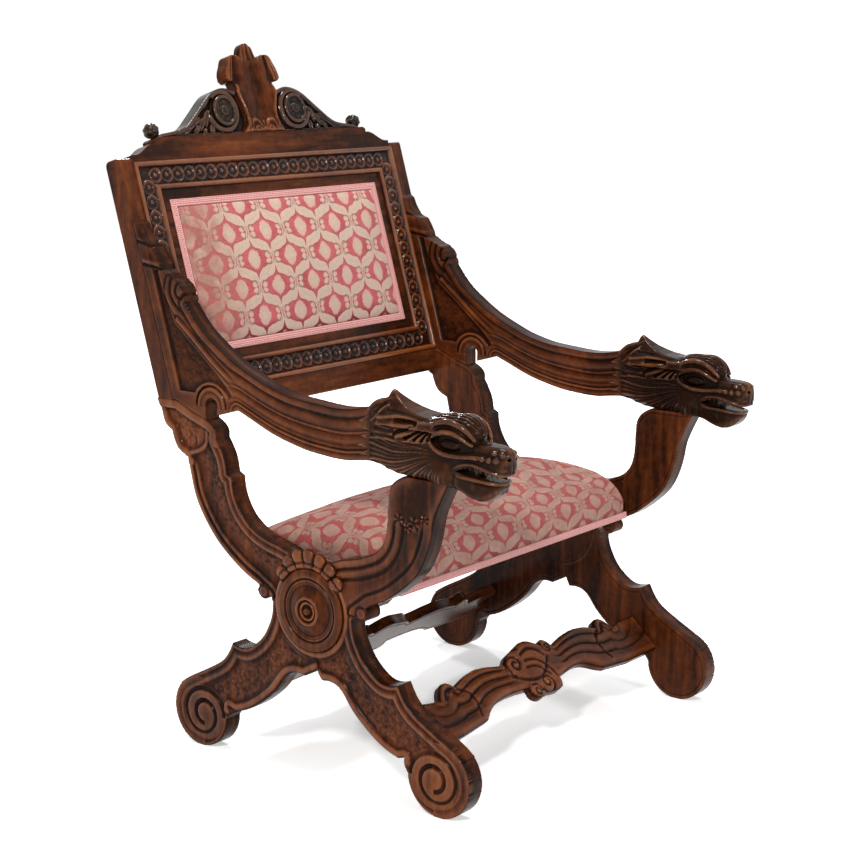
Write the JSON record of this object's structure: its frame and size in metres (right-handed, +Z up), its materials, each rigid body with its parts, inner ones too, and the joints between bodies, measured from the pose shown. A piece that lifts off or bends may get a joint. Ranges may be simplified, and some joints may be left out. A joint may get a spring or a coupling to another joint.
{
  "type": "savonarola armchair",
  "caption": "Carved walnut armchair with X-shaped side frames on scroll feet, beast-head arm ends, a raked framed back with crest, and damask padding.",
  "frame": {"origin": "on the floor under the middle of the chair's bounding box", "axes": "+Z up, the chair faces -Y, +X is the sitter's left"},
  "size_m": [0.746, 0.85, 1.1393],
  "materials": {
    "carved_walnut": "dark glossy polish over carved walnut, worn red-brown on the high places",
    "plain_walnut": "plain polished walnut",
    "plain_beech": "bare beech under the cover and inside the joints",
    "damask": "worn crimson silk damask with a cream lattice",
    "gimp_braid": "woven pink gimp braid",
    "jute_webbing": "jute webbing",
    "dust_cloth": "black cotton dust cloth"
  },
  "bodies": {
    "root": {"cross_leg_post_l": "carved_walnut", "cross_leg_post_r": "carved_walnut", "cross_leg_arm_l": "carved_walnut", "cross_leg_arm_r": "carved_walnut", "boss_l": "carved_walnut", "boss_r": "carved_walnut", "shell_l": "carved_walnut", "shell_r": "carved_walnut", "back_stile_l": "carved_walnut", "back_stile_r": "carved_walnut", "arm_l": "carved_walnut", "arm_r": "carved_walnut", "beast_head_l": "carved_walnut", "beast_head_r": "carved_walnut", "rosette_l": "carved_walnut", "rosette_r": "carved_walnut", "crest_ball_l": "carved_walnut", "crest_ball_r": "carved_walnut", "mould_l": "carved_walnut", "mould_r": "carved_walnut", "front_stretcher": "carved_walnut", "rear_stretcher": "carved_walnut", "bottom_rail": "carved_walnut", "top_rail": "carved_walnut", "mould_top": "carved_walnut", "mould_bottom": "carved_walnut", "crest_board": "carved_walnut", "crest_shield": "carved_walnut", "stile_dowel_l": "plain_beech", "stile_dowel_r": "plain_beech", "arm_dowel_l": "plain_beech", "arm_dowel_r": "plain_beech", "back_panel": "plain_walnut", "seat_rail_l": "plain_beech", "seat_bearer_l": "plain_walnut", "seat_rail_r": "plain_beech", "seat_bearer_r": "plain_walnut", "seat_rail_front": "plain_beech", "seat_rail_rear": "plain_beech", "back_pad": "damask", "seat_pad": "damask", "back_gimp": "gimp_braid", "seat_gimp": "gimp_braid", "seat_webbing": "jute_webbing", "dust_cover": "dust_cloth"}
  },
  "joints": []
}
